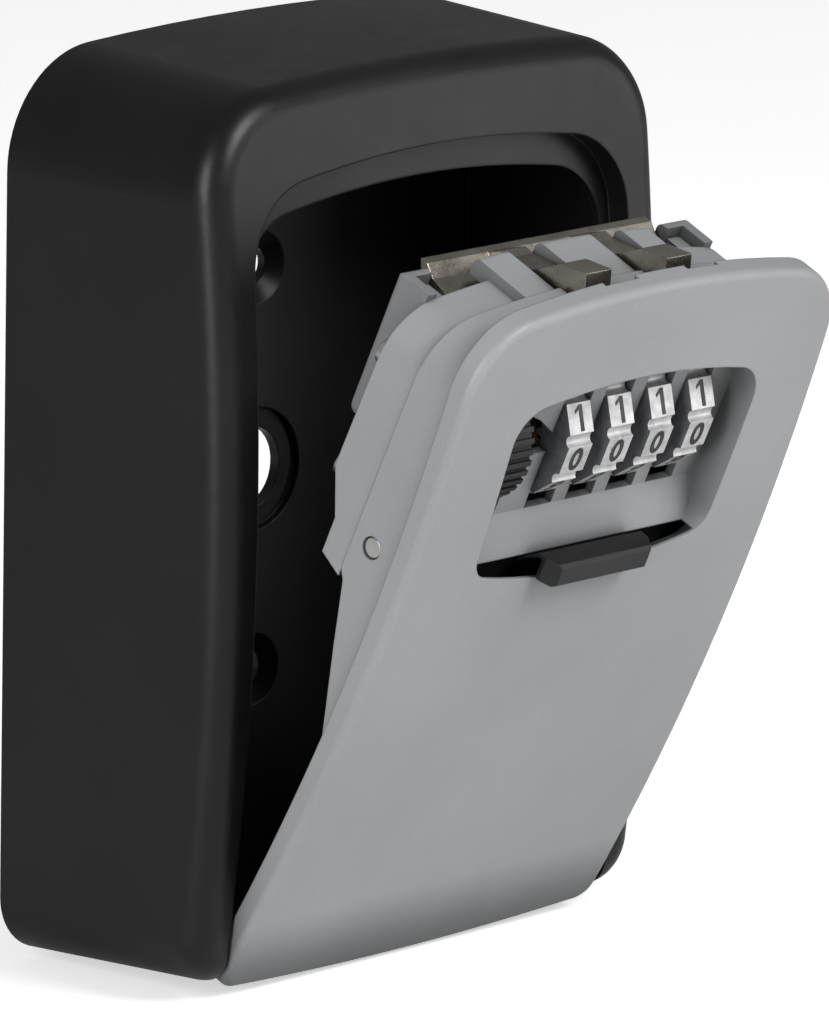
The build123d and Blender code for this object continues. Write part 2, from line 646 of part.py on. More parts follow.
def make_wheel(centre):
    """A number wheel with ten lands, keyed inside over its left half and free over its right."""
    left = centre - WHEEL_WIDTH / 2
    key_end = centre + (KEY_START + KEY_END + CODE_SHIFT) / 2 + 0.1
    with BuildPart() as wheel:
        with BuildSketch(Plane.YZ.offset(left)):
            Polygon(*[wheel_corner(wheel_reach, n) for n in range(WHEEL_FACETS)], align=None)
            with Locations(*[wheel_corner(wheel_reach, n) for n in range(WHEEL_FACETS)]):
                Circle(NOTCH_RADIUS, mode=Mode.SUBTRACT)
        extrude(amount=WHEEL_WIDTH)
        with BuildSketch(Plane.YZ.offset(left)):
            with Locations((-wheel_rear, WHEEL_HEIGHT)):
                Circle(SLEEVE_RADIUS + FIT)
        extrude(amount=WHEEL_WIDTH, mode=Mode.SUBTRACT)
        with BuildSketch(Plane.YZ.offset(left)):
            with Locations((-wheel_rear, WHEEL_HEIGHT)):
                with PolarLocations(SLEEVE_RADIUS, WHEEL_FACETS):
                    Rectangle((KEY_RADIUS + 0.2 - SLEEVE_RADIUS) * 2, KEY_WIDTH + 0.15)
        extrude(amount=key_end - left, mode=Mode.SUBTRACT)
        with BuildSketch(Plane.YZ.offset(key_end - 0.1)):
            with Locations((-wheel_rear, WHEEL_HEIGHT)):
                Circle(KEY_RADIUS + 0.25)
        extrude(amount=centre + WHEEL_WIDTH / 2 - key_end + 0.1, mode=Mode.SUBTRACT)
    return wheel.part


def make_sleeve(centre):
    """A sleeve inside a number wheel: a tube with one driving key and a gated cam disc."""
    with BuildPart() as sleeve:
        add(rod(SLEEVE_RADIUS, wheel_rear, WHEEL_HEIGHT, centre - SLEEVE_LEFT, centre + SLEEVE_RIGHT))
        add(rod(CAM_RADIUS, wheel_rear, WHEEL_HEIGHT, centre + CAM_START, centre + CAM_END))
        key_height = (WHEEL_HEIGHT - KEY_WIDTH / 2, WHEEL_HEIGHT + KEY_WIDTH / 2)
        key_reach = (wheel_rear, wheel_rear + KEY_RADIUS)
        add(block((centre + KEY_START, centre + KEY_END), key_reach, key_height))
        gate = block(
            (centre + CAM_START - 1, centre + CAM_END + 1),
            (wheel_rear - 0.9, wheel_rear + 0.9),
            (WHEEL_HEIGHT - CAM_RADIUS - 1, WHEEL_HEIGHT - SLEEVE_RADIUS),
        )
        add(gate, mode=Mode.SUBTRACT)
        bore = rod(
            SPINDLE_RADIUS + FIT, wheel_rear, WHEEL_HEIGHT, centre - SLEEVE_LEFT, centre + SLEEVE_RIGHT
        )
        add(bore, mode=Mode.SUBTRACT)
    return sleeve.part


with BuildPart() as thumb_wheel:
    with BuildSketch(Plane.YZ.offset(THUMB_LEFT)):
        with Locations((-wheel_rear, WHEEL_HEIGHT)):
            Circle(THUMB_RADIUS)
            with PolarLocations(THUMB_RADIUS, THUMB_RIBS):
                Rectangle(THUMB_RIB_DEPTH * 2, pi * THUMB_RADIUS / THUMB_RIBS, mode=Mode.SUBTRACT)
    extrude(amount=THUMB_RIGHT - THUMB_LEFT)
    add(rod(THUMB_HUB_RADIUS, wheel_rear, WHEEL_HEIGHT, THUMB_RIGHT - 1, THUMB_HUB_END))
    hub_edge = thumb_wheel.faces().sort_by(Axis.X)[-1].edges()
    chamfer(hub_edge, 0.4)
    add(
        rod(SPINDLE_RADIUS + FIT, wheel_rear, WHEEL_HEIGHT, THUMB_LEFT - 1, THUMB_HUB_END + 1),
        mode=Mode.SUBTRACT,
    )

# ---------------------------------------------------------------- spindle and code-change lever
spindle_end = BOSS_INNER + 2.4
collar_left = THUMB_HUB_END + 0.1
with BuildPart() as wheel_spindle:
    add(rod(SPINDLE_RADIUS, wheel_rear, WHEEL_HEIGHT, -spindle_end, spindle_end))
    chamfer(wheel_spindle.edges().filter_by(GeomType.CIRCLE), SPINDLE_RADIUS / 5)
    add(rod(SLEEVE_RADIUS - 0.1, wheel_rear, WHEEL_HEIGHT, collar_left, collar_left + 0.4))

lever_profile = [
    (-wheel_rear, WHEEL_HEIGHT + 2.0),
    (-COVER_REAR + 0.4, WHEEL_HEIGHT + 2.0),
    (-COVER_REAR + 0.4, WHEEL_HEIGHT - 0.6),
    (-wheel_rear, WHEEL_HEIGHT - 0.6),
]
with BuildPart() as code_change_lever:
    add(rod(SLEEVE_RADIUS + 0.4, wheel_rear, WHEEL_HEIGHT, lever_left, lever_right))
    add(side_plate(lever_profile, lever_left, lever_right))
    pad = block((lever_left - 1.6, lever_right + 1.6), (10.7, COVER_REAR - 0.3), (77.4, 84.0))
    add(pad)
    fillet(code_change_lever.faces().sort_by(Axis.Y)[-1].edges(), 0.6)
    add(rod(SPINDLE_RADIUS, wheel_rear, WHEEL_HEIGHT, lever_left, lever_right), mode=Mode.SUBTRACT)

# ---------------------------------------------------------------- detent spring
spring_sides = (SHELF_SIDES[0] + CLEAR, SHELF_SIDES[1] - 0.4)
with BuildPart() as detent_spring:
    add(block(spring_sides, (SHELF_REAR + 0.6, SHELF_FRONT - CLEAR), (SPRING_FLOOR, SPRING_FLOOR + 0.4)))
    for centre in wheel_centres:
        leaf = [(-26.4, 68.6), (-26.4, 69.0), (-28.4, 69.6), (-30.2, 70.0), (-30.2, 69.6), (-28.4, 69.2)]
        add(side_plate(leaf, centre - 1.6, centre + 1.6))

# ---------------------------------------------------------------- latch
nose_side = [
    (-28.0, 103.7),
    (-23.8, 102.5),
    (-20.1, 99.2),
    (-15.9, 98.2),
    (-14.4, 98.3),
    (-12.6, 97.0),
    (-12.9, 93.8),
    (-14.9, 91.7),
    (-17.2, 91.7),
    (-20.2, 95.6),
    (-22.6, 96.4),
    (-22.6, 92.9),
    (-25.8, 92.9),
    (-25.8, 97.4),
    (-29.3, 98.8),
    (-29.2, 100.2),
]
bar_side = [
    (-12.6, 97.0),
    (-11.4, 97.0),
    (-12.9, 93.8),
    (-14.1, 92.4),
    (-14.9, 91.7),
    (-17.2, 91.7),
    (-17.9, 93.4),
    (-17.2, 95.2),
    (-14.3, 95.7),
]
with BuildPart() as latch_rocker:
    for side in (-1, 1):
        left = side * NOSE_CENTRE - NOSE_WIDTH / 2
        add(side_plate(nose_side, left, left + NOSE_WIDTH))
    add(side_plate(bar_side, -BAR_HALF, BAR_HALF))
    spring_room = block((-4.2, 4.2), (LATCH_PIVOT_REAR - 3.6, LATCH_PIVOT_REAR + 3), (91.0, 96.2))
    add(spring_room, mode=Mode.SUBTRACT)
    pin_room = rod(LATCH_PIN_RADIUS + FIT, LATCH_PIVOT_REAR, LATCH_PIVOT_HEIGHT, -BAR_HALF, BAR_HALF)
    add(pin_room, mode=Mode.SUBTRACT)
    link_room = block((-NOSE_CENTRE * 2, NOSE_CENTRE * 2), (22.95, 25.25), (93.85, 95.65))
    add(link_room, mode=Mode.SUBTRACT)

with BuildPart() as latch_pivot_pin:
    add(pivot_bore)
    chamfer(latch_pivot_pin.edges().filter_by(GeomType.CIRCLE), LATCH_PIN_RADIUS / 6)

with BuildPart() as latch_spring:
    spring_start = (-3.3, -LATCH_PIVOT_REAR, LATCH_PIVOT_HEIGHT)
    with BuildLine() as coil:
        Helix(pitch=0.95, height=6.6, radius=1.55, center=spring_start, direction=(1, 0, 0))
    with BuildSketch(Plane(origin=coil.line @ 0, z_dir=coil.line % 0)):
        Circle(0.2)
    sweep()

# ---------------------------------------------------------------- open button and release link
button_top = DISH_LIP_HEIGHT + 0.2
button_front = 32.9
tie_low = 60.9
tie_high = 62.9
button_back = 31.2
plate_low = 57.5
lip_front = -front_y(DISH_LIP_HEIGHT) + LIP_PROUD
slot_half = CROSS_PIN_RADIUS + FIT
cheek_side = [
    (-button_back - 0.5, tie_high + CLEAR),
    (-26.0, tie_high + CLEAR),
    (-26.0, 70.0),
    (-CROSS_PIN_REAR + slot_half, 70.0),
    (-CROSS_PIN_REAR + slot_half, 65.2),
    (-CROSS_PIN_REAR - slot_half, 65.2),
    (-CROSS_PIN_REAR - slot_half, 68.4),
    (-button_back - 0.2, 68.4),
]
# The lip hangs in front of the panel, on a stem that climbs over the window's lower edge, so that it
# can slide down the whole travel.
lip_back = BODY_DEPTH + CLEAR
stem_low = LIP_HIGH - LIP_STEM
lip_side = [
    (-button_front, LIP_LOW + CLEAR),
    (-button_front - 0.7, LIP_LOW + CLEAR),
    (-button_front - 1.1, LIP_LOW + 0.9),
    (-lip_back + 0.6, stem_low),
    (-lip_back, stem_low),
    (-lip_back, LIP_LOW + 0.2),
    (-lip_front + 0.5, LIP_LOW),
    (-lip_front, LIP_LOW + 0.4),
    (-lip_front, LIP_HIGH - 0.5),
    (-lip_front + 0.5, LIP_HIGH),
    (-lip_back + 0.7, LIP_HIGH),
    (-button_front - 1.8, DISH_LIP_HEIGHT - CLEAR - 0.1),
    (-button_front, DISH_LIP_HEIGHT - CLEAR - 0.1),
]
lip_plan = [
    (-LIP_HALF, -button_front),
    (-LIP_HALF, -lip_back - 0.6),
    (-LIP_HALF + LIP_BEVEL, -lip_front),
    (LIP_HALF - LIP_BEVEL, -lip_front),
    (LIP_HALF, -lip_back - 0.6),
    (LIP_HALF, -button_front),
]
with BuildPart() as lip:
    with BuildSketch(Plane.XY.offset(LIP_LOW)):
        Polygon(*lip_plan, align=None)
    extrude(amount=LIP_HIGH - LIP_LOW)
    add(side_plate(lip_side, -LIP_HALF, LIP_HALF), mode=Mode.INTERSECT)

with BuildPart() as open_button:
    plate_sides = (-BUTTON_PLATE_HALF, BUTTON_PLATE_HALF)
    add(block(plate_sides, (button_back, button_front), (plate_low, button_top)))
    for side in (-1, 1):
        left, right = sorted((side * BUTTON_HALF, side * (BUTTON_HALF - BUTTON_CHEEK)))
        add(side_plate(cheek_side, left, right))
        left, right = sorted((side * 12.0, side * 14.4))
        add(block((left, right), (button_back - 1.2, button_back), (tie_low + 0.4, tie_high - 0.4)))
    add(lip.part)

link_side = [
    (-22.4, 95.35),
    (-22.4, 74.0),
    (-24.6, 69.6),
    (-24.6, 65.9),
    (-26.2, 64.0),
    (-26.2, 60.9),
    (-31.2, 60.9),
    (-31.2, 64.6),
    (-28.5, 64.6),
    (-26.9, 66.0),
    (-26.4, 70.8),
    (-24.2, 75.2),
    (-24.2, 94.15),
    (-25.0, 94.15),
    (-25.0, 95.35),
]
link_outer = LINK_INNER + LINK_THICKNESS
with BuildPart() as release_link:
    for side in (-1, 1):
        left, right = sorted((side * LINK_INNER, side * link_outer))
        add(side_plate(link_side, left, right))
    add(block((-link_outer, link_outer), tooth_rear, (94.15, 95.35)))
    add(block((-link_outer, link_outer), (button_back - 1.2, button_back), (tie_low, tie_high)))
    for side in (-1, 1):
        left, right = sorted((side * 12.0, side * 14.4))
        peg_height = (tie_low + 0.4, tie_high - 0.4)
        peg_hole = block((left, right), (button_back - 1.3, button_back + 0.1), peg_height)
        add(peg_hole, mode=Mode.SUBTRACT)
    for centre in wheel_centres:
        middle = centre + (CAM_START + CAM_END) / 2
        add(block((middle - 0.4, middle + 0.4), tooth_rear, (87.2, 94.65)))

# ---------------------------------------------------------------- placing and saving
hinge_line = Axis((0, -HINGE_REAR, HINGE_HEIGHT), (1, 0, 0))


def save(part, name, on_door=True):
    """Label a piece, move it to its stored place and write it."""
    placed = part.rotate(hinge_line, DOOR_REST_ANGLE) if on_door else part
    placed = placed.translate((0, 0, -SCREW_CENTRE_HEIGHT))
    placed.label = name
    export_step(placed, f"parts/{name}.step")


os.makedirs("parts", exist_ok=True)
save(body_shell.part, "body_shell", on_door=False)
save(hinge_pin.part, "hinge_pin", on_door=False)
save(door_front.part, "door_front")
save(lock_housing.part, "lock_housing")
save(rear_cover.part, "rear_cover")
save(cover_screws.part, "cover_screws")
save(housing_screws.part, "housing_screws")
save(cross_pin.part, "cross_pin")
save(latch_rocker.part, "latch_rocker")
save(latch_pivot_pin.part, "latch_pivot_pin")
save(latch_spring.part, "latch_spring")
save(open_button.part, "open_button")
save(release_link.part, "release_link")
save(thumb_wheel.part, "thumb_wheel")
save(wheel_spindle.part, "wheel_spindle")
save(code_change_lever.part, "code_change_lever")
save(detent_spring.part, "detent_spring")
for number, centre in enumerate(wheel_centres, start=1):
    save(make_wheel(centre), f"number_wheel_{number}")
    save(make_sleeve(centre), f"code_sleeve_{number}")
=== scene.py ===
import json
import math

import bpy
from mathutils import Matrix, Vector


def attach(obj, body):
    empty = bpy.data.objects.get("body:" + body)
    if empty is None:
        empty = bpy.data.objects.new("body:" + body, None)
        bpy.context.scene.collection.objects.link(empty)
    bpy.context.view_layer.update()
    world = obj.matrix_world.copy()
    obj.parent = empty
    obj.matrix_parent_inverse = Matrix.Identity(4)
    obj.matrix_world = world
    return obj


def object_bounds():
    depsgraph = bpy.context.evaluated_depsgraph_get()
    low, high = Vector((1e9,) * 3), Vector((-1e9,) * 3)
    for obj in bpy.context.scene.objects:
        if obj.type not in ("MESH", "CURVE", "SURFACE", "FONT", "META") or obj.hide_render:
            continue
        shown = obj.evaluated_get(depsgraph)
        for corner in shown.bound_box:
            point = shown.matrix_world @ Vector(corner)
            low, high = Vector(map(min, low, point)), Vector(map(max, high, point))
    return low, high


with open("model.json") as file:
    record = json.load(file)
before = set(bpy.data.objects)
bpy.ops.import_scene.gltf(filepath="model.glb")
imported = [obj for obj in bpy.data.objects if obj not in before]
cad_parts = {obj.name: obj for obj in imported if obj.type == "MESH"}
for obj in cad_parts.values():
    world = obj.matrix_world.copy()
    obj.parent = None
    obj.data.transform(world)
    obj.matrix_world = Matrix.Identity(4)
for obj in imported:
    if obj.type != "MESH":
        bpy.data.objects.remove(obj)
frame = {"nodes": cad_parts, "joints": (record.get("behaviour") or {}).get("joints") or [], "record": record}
first_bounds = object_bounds()
nodes = frame["nodes"]
joints = {j["name"]: j for j in frame["joints"]}
scene = bpy.context.scene

# ---------------------------------------------------------------- sizes in metres, angles in degrees
DIGIT_COUNT = 10
DIGIT_WIDTH = 0.00215
DIGIT_HEIGHT = 0.0034
DIGIT_PROUD = 0.00001  # how far the numerals stand off the wheels' lands
DIGIT_BOLDNESS = 0.04

FLOOR_HALF = 3.0
FLOOR_GAP = 0.0005  # the floor lies this far under the box
FLOOR_GLOW = 0.55  # the camera sees the floor this much whiter than it is lit

CAMERA_PLACE = (-0.8889, -0.8720, 0.2767)
CAMERA_YAW = 46.59
CAMERA_PITCH = 12.78
CAMERA_ROLL = 1.10
CAMERA_LENS = 345.8  # millimetres

BACK_WALL_LIGHT_DEPTH = 0.0042  # the painted light on the inner back wall is on faces less than this far from the wall
BACK_WALL_LIGHT_END = 0.004  # X at which it has faded out

# ---------------------------------------------------------------- shader helpers


class Shader:
    """A node material built step by step around one Principled shader."""

    def __init__(self, name):
        self.material = bpy.data.materials.new(name)
        self.material.use_nodes = True
        self.tree = self.material.node_tree
        self.tree.nodes.clear()
        self.out = self.add("ShaderNodeOutputMaterial")
        self.main = self.add("ShaderNodeBsdfPrincipled")
        self.link(self.main.outputs[0], self.out.inputs[0])
        self.coord = self.add("ShaderNodeTexCoord").outputs["Object"]

    def add(self, kind, **settings):
        """A new node with these settings."""
        node = self.tree.nodes.new(kind)
        for key, value in settings.items():
            setattr(node, key, value)
        return node

    def link(self, a, b):
        self.tree.links.new(a, b)

    def noise(self, scale, detail=3.0, roughness=0.55, distortion=0.0):
        """Noise in object space; scale is in cells per metre."""
        node = self.add("ShaderNodeTexNoise")
        node.inputs["Scale"].default_value = scale
        node.inputs["Detail"].default_value = detail
        node.inputs["Roughness"].default_value = roughness
        node.inputs["Distortion"].default_value = distortion
        self.link(self.coord, node.inputs["Vector"])
        return node.outputs["Fac"]

    def spread(self, value, low, high, out_low=0.0, out_high=1.0):
        """value taken from low..high to out_low..out_high and held there."""
        node = self.add("ShaderNodeMapRange")
        sockets = ("From Min", "From Max", "To Min", "To Max")
        for socket, number in zip(sockets, (low, high, out_low, out_high)):
            node.inputs[socket].default_value = number
        self.link(value, node.inputs["Value"])
        return node.outputs["Result"]

    def math(self, operation, a, b=0.0):
        node = self.add("ShaderNodeMath", operation=operation)
        for socket, value in zip(node.inputs, (a, b)):
            if isinstance(value, (int, float)):
                socket.default_value = value
            else:
                self.link(value, socket)
        return node.outputs[0]

    def mix(self, factor, first, second):
        node = self.add("ShaderNodeMix", data_type="RGBA")
        if isinstance(factor, (int, float)):
            node.inputs[0].default_value = factor
        else:
            self.link(factor, node.inputs[0])
        for index, value in ((6, first), (7, second)):
            if isinstance(value, tuple):
                node.inputs[index].default_value = (*value, 1.0)
            else:
                self.link(value, node.inputs[index])
        return node.outputs[2]

    def base(self, value):
        self.link(value, self.main.inputs["Base Color"])

    def roughness(self, value):
        self.link(value, self.main.inputs["Roughness"])

    def metal(self, value):
        if isinstance(value, (int, float)):
            self.main.inputs["Metallic"].default_value = value
        else:
            self.link(value, self.main.inputs["Metallic"])

    def relief(self, layers, edge=0.0):
        """Stacks bump layers of (height, distance in metres, strength) over softly rounded edges."""
        normal = None
        if edge:
            bevel = self.add("ShaderNodeBevel", samples=6)
            bevel.inputs["Radius"].default_value = edge
            normal = bevel.outputs[0]
        for height, distance, strength in layers:
            bump = self.add("ShaderNodeBump")
            bump.inputs["Distance"].default_value = distance
            bump.inputs["Strength"].default_value = strength
            self.link(height, bump.inputs["Height"])
            if normal is not None:
                self.link(normal, bump.inputs["Normal"])
            normal = bump.outputs[0]
        if normal is not None:
            self.link(normal, self.main.inputs["Normal"])

    def edges(self, radius):
        """0 on flat faces, up to 1 on sharp edges, where the rounded normal leans from the true one."""
        bevel = self.add("ShaderNodeBevel", samples=4)
        bevel.inputs["Radius"].default_value = radius
        true = self.add("ShaderNodeNewGeometry").outputs["Normal"]
        dot = self.add("ShaderNodeVectorMath", operation="DOT_PRODUCT")
        self.link(bevel.outputs[0], dot.inputs[0])
        self.link(true, dot.inputs[1])
        return self.spread(dot.outputs["Value"], 0.97, 0.78, 0.0, 1.0)

    def side_mask(self, low=0.55, high=0.8):
        """1 on faces that look along X, 0 on the others."""
        split = self.add("ShaderNodeSeparateXYZ")
        self.link(self.add("ShaderNodeTexCoord").outputs["Normal"], split.inputs[0])
        return self.spread(self.math("ABSOLUTE", split.outputs[0]), low, high)


def paint(
    name, dark, light, rough, grain, grain_depth, edge, wear, specular, shade=0.0, painted_light_wall=None
):
    """Sprayed or powder-coated paint with fine orange peel, uneven tone and rub marks on its edges.
    rough is (low, high), wear is (colour, amount), shade is how much painted shade falls in recesses, and
    the last argument is (y, x from, x to) of painted light on the inner back wall."""
    s = Shader(name)
    blotch = s.noise(38.0, 5.0)
    fine = s.noise(900.0, 2.0)
    colour = s.mix(s.spread(blotch, 0.3, 0.7), dark, light)
    speck = s.spread(s.noise(2600.0, 1.0), 0.66, 0.8)
    speck_colour = tuple(min(1.0, c * 1.5 + 0.01) for c in light)
    colour = s.mix(s.math("MULTIPLY", speck, 0.22), colour, speck_colour)
    worn = s.math("MULTIPLY", s.edges(0.0005), s.spread(s.noise(420.0, 4.0), 0.5, 0.72))
    colour = s.mix(s.math("MULTIPLY", worn, wear[1]), colour, wear[0])
    if painted_light_wall:
        # painted light: a lighter colour on the back wall's inner face, fading to the right, stands in for
        # light reaching that wall
        place = s.add("ShaderNodeSeparateXYZ")
        s.link(s.coord, place.inputs[0])
        deep_in = s.spread(place.outputs["Y"], painted_light_wall[0], painted_light_wall[0] + 0.0006)
        fade = s.spread(place.outputs["X"], painted_light_wall[1], painted_light_wall[2], 1.0, 0.0)
        facing = s.add("ShaderNodeSeparateXYZ")
        s.link(s.add("ShaderNodeTexCoord").outputs["Normal"], facing.inputs[0])
        front = s.spread(facing.outputs["Y"], -0.7, -0.9)
        painted_light_mask = s.math("MULTIPLY", s.math("MULTIPLY", deep_in, fade), front)
        colour = s.mix(painted_light_mask, colour, (0.05, 0.05, 0.051))
    if shade:
        # painted shade: ambient occlusion darkens the colour in recesses, where less light falls
        hollow = s.add("ShaderNodeAmbientOcclusion", samples=6)
        hollow.inputs["Distance"].default_value = 0.011
        painted_shade = s.spread(hollow.outputs["AO"], 0.35, 0.92, shade, 0.0)
        colour = s.mix(painted_shade, colour, tuple(c * 0.12 for c in dark))
    s.base(colour)
    smudge = s.noise(70.0, 6.0, 0.65, 0.6)
    mottle = s.math("ADD", s.math("MULTIPLY", smudge, 0.7), s.math("MULTIPLY", fine, 0.3))
    s.roughness(s.spread(mottle, 0.3, 0.7, *rough))
    s.main.inputs["Specular IOR Level"].default_value = specular
    s.relief([(s.noise(grain, 2.0), grain_depth, 0.5), (fine, grain_depth * 0.5, 0.35)], edge)
    return s.material


def metal(name, dark, light, rough, grain, depth, edge, pits=0.0):
    """Bare or plated metal with scratches and grain, and casting pits where pits is above zero."""
    s = Shader(name)
    patch = s.noise(160.0, 5.0, 0.6)
    scratch = s.noise(1400.0, 4.0, 0.7, 1.5)
    colour = s.mix(s.spread(patch, 0.3, 0.7), dark, light)
    if pits:
        hole = s.spread(s.noise(grain * 0.8, 3.0, 0.7), 0.6, 0.68)
        colour = s.mix(s.math("MULTIPLY", hole, 0.35), colour, tuple(c * 0.35 for c in dark))
    s.base(colour)
    s.metal(1.0)
    mottle = s.math("ADD", s.math("MULTIPLY", patch, 0.5), s.math("MULTIPLY", scratch, 0.5))
    s.roughness(s.spread(mottle, 0.3, 0.7, *rough))
    layers = [(s.noise(grain, 4.0, 0.65), depth, 0.6)]
    if pits:
        layers.append((s.spread(s.noise(grain * 0.8, 3.0, 0.7), 0.55, 0.7), depth * 2, -pits))
    s.relief(layers, edge)
    return s.material


def wheel_material(name):
    """A number wheel: bright plated lands with rubbed edges, and dark cheeks."""
    s = Shader(name)
    cheek = s.side_mask()
    tone = s.spread(s.noise(500.0, 4.0, 0.6), 0.35, 0.65)
    land = s.mix(tone, (0.42, 0.42, 0.425), (0.6, 0.6, 0.605))
    dark = s.mix(tone, (0.085, 0.087, 0.092), (0.14, 0.143, 0.148))
    worn = s.math("MULTIPLY", s.edges(0.00025), 0.55)
    s.base(s.mix(cheek, s.mix(worn, land, (0.8, 0.8, 0.8)), dark))
    s.metal(s.math("MULTIPLY", s.math("SUBTRACT", 1.0, cheek), 0.4))
    s.roughness(s.spread(s.noise(700.0, 3.0), 0.3, 0.7, 0.26, 0.5))
    s.relief([(s.noise(1800.0, 3.0), 0.00002, 0.6)], 0.00012)
    return s.material


# where the painted light on the body's inner back wall lies
back_wall_light = (first_bounds[1].y - BACK_WALL_LIGHT_DEPTH, first_bounds[0].x * 0.75, BACK_WALL_LIGHT_END)
materials = {
    "body_black": paint(
        "BodyBlack",
        (0.0045, 0.0045, 0.005),
        (0.0075, 0.0075, 0.008),
        rough=(0.32, 0.42),
        grain=2600.0,
        grain_depth=0.00001,
        edge=0.0004,
        wear=((0.04, 0.04, 0.04), 0.3),
        specular=0.3,
        painted_light_wall=back_wall_light,
    ),
    "door_grey": paint(
        "DoorGrey",
        (0.285, 0.292, 0.297),
        (0.315, 0.322, 0.327),
        rough=(0.36, 0.5),
        grain=2400.0,
        grain_depth=0.000012,
        edge=0.0003,
        wear=((0.42, 0.42, 0.42), 0.4),
        specular=0.4,
        shade=0.75,
    ),
    # painted shade: the rear cover's grey is set darker than the door's because the set-back cover gets less
    # light
    "cover_grey": paint(
        "CoverGreyPaintedShade",
        (0.19, 0.194, 0.198),
        (0.225, 0.23, 0.234),
        rough=(0.4, 0.55),
        grain=2000.0,
        grain_depth=0.00002,
        edge=0.0003,
        wear=((0.4, 0.4, 0.4), 0.5),
        specular=0.4,
        shade=0.6,
    ),
    "button_black": paint(
        "ButtonBlack",
        (0.008, 0.008, 0.0085),
        (0.014, 0.014, 0.0145),
        rough=(0.34, 0.5),
        grain=3000.0,
        grain_depth=0.00002,
        edge=0.00025,
        wear=((0.05, 0.05, 0.05), 0.3),
        specular=0.35,
    ),
    "latch_nickel": metal(
        "LatchNickel",
        (0.34, 0.32, 0.27),
        (0.5, 0.47, 0.4),
        rough=(0.2, 0.4),
        grain=1500.0,
        depth=0.00006,
        edge=0.00018,
        pits=0.8,
    ),
    "pin_steel": metal(
        "PinSteel",
        (0.52, 0.52, 0.5),
        (0.68, 0.67, 0.65),
        rough=(0.22, 0.4),
        grain=1900.0,
        depth=0.00003,
        edge=0.00015,
        pits=0.4,
    ),
    "screw_steel": metal(
        "ScrewSteel",
        (0.46, 0.46, 0.45),
        (0.6, 0.6, 0.58),
        rough=(0.25, 0.42),
        grain=1700.0,
        depth=0.00002,
        edge=0.0001,
    ),
    "spring_steel": metal(
        "SpringSteel",
        (0.3, 0.3, 0.31),
        (0.42, 0.42, 0.43),
        rough=(0.25, 0.4),
        grain=1700.0,
        depth=0.00001,
        edge=0.00005,
    ),
    "link_steel": metal(
        "LinkSteel",
        (0.42, 0.42, 0.42),
        (0.55, 0.55, 0.55),
        rough=(0.28, 0.45),
        grain=1500.0,
        depth=0.00002,
        edge=0.0001,
    ),
    "wheel_silver": wheel_material("WheelSilver"),
    "sleeve_brass": metal(
        "SleeveBrass",
        (0.6, 0.42, 0.16),
        (0.72, 0.54, 0.25),
        rough=(0.25, 0.4),
        grain=1500.0,
        depth=0.00002,
        edge=0.0001,
    ),
}

slot_of = {s["node"]: s["material_slot"] for s in frame["record"]["subparts"]}
for name, node in nodes.items():
    node.data.materials.clear()
    node.data.materials.append(materials[slot_of[name]])

# ---------------------------------------------------------------- numerals on the wheels


def numeral_material():
    """Black filling paint, a little uneven."""
    s = Shader("NumeralBlack")
    tone = s.spread(s.noise(1200.0, 3.0), 0.3, 0.7)
    s.base(s.mix(tone, (0.006, 0.006, 0.006), (0.016, 0.016, 0.016)))
    s.roughness(s.spread(s.noise(900.0, 3.0), 0.3, 0.7, 0.3, 0.5))
    s.relief([(s.noise(3000.0, 2.0), 0.00001, 0.5)])
    return s.material


numeral = numeral_material()
hinge = joints["door_hinge"]
rest_open = -math.radians(hinge["range_deg"][0])  # the door stands this far open at rest
door_turn = Matrix.Rotation(rest_open, 4, "X")


def one_mesh(width, height):
    """The numeral 1, centred in the XY plane: a stem with a flag falling to its left."""
    stem, flag = 0.13 * width, 0.2 * height
    top = height / 2
    flag_root_high = (-stem * 0.2, top)
    flag_root_low = (-stem * 0.6, top - flag * 0.95)
    flag_part = [
        flag_root_high,
        (-stem * 3.2, top - flag),
        (-stem * 3.2, top - flag * 1.75),
        flag_root_low,
    ]
    stem_part = [
        (stem * 2, -top),
        (stem * 2, top),
        flag_root_high,
        flag_root_low,
        (-stem * 0.6, -top),
    ]
    mesh = bpy.data.meshes.new("numeral")
    points = [(x, y, 0) for x, y in flag_part + stem_part]
    mesh.from_pydata(points, [], [(0, 1, 2, 3), (4, 5, 6, 7, 8)])
    return mesh


def text_mesh(character, width, height):
    """A numeral in Blender's own font, flat and centred in the XY plane."""
    curve = bpy.data.curves.new("numeral", "FONT")
    curve.body = character
    curve.align_x = "CENTER"
    curve.offset = DIGIT_BOLDNESS
    holder = bpy.data.objects.new("numeral", curve)
    scene.collection.objects.link(holder)
    bpy.context.view_layer.update()
    shaped = holder.evaluated_get(bpy.context.evaluated_depsgraph_get())
    mesh = bpy.data.meshes.new_from_object(shaped)
    bpy.data.objects.remove(holder)
    xs = [v.co.x for v in mesh.vertices]
    ys = [v.co.y for v in mesh.vertices]
    centre = Vector(((min(xs) + max(xs)) / 2, (min(ys) + max(ys)) / 2, 0))
    wide, tall = max(xs) - min(xs), max(ys) - min(ys)
    scale = Matrix.Diagonal((width / wide, height / tall, 1, 1))
    mesh.transform(scale @ Matrix.Translation(-centre))
    return mesh


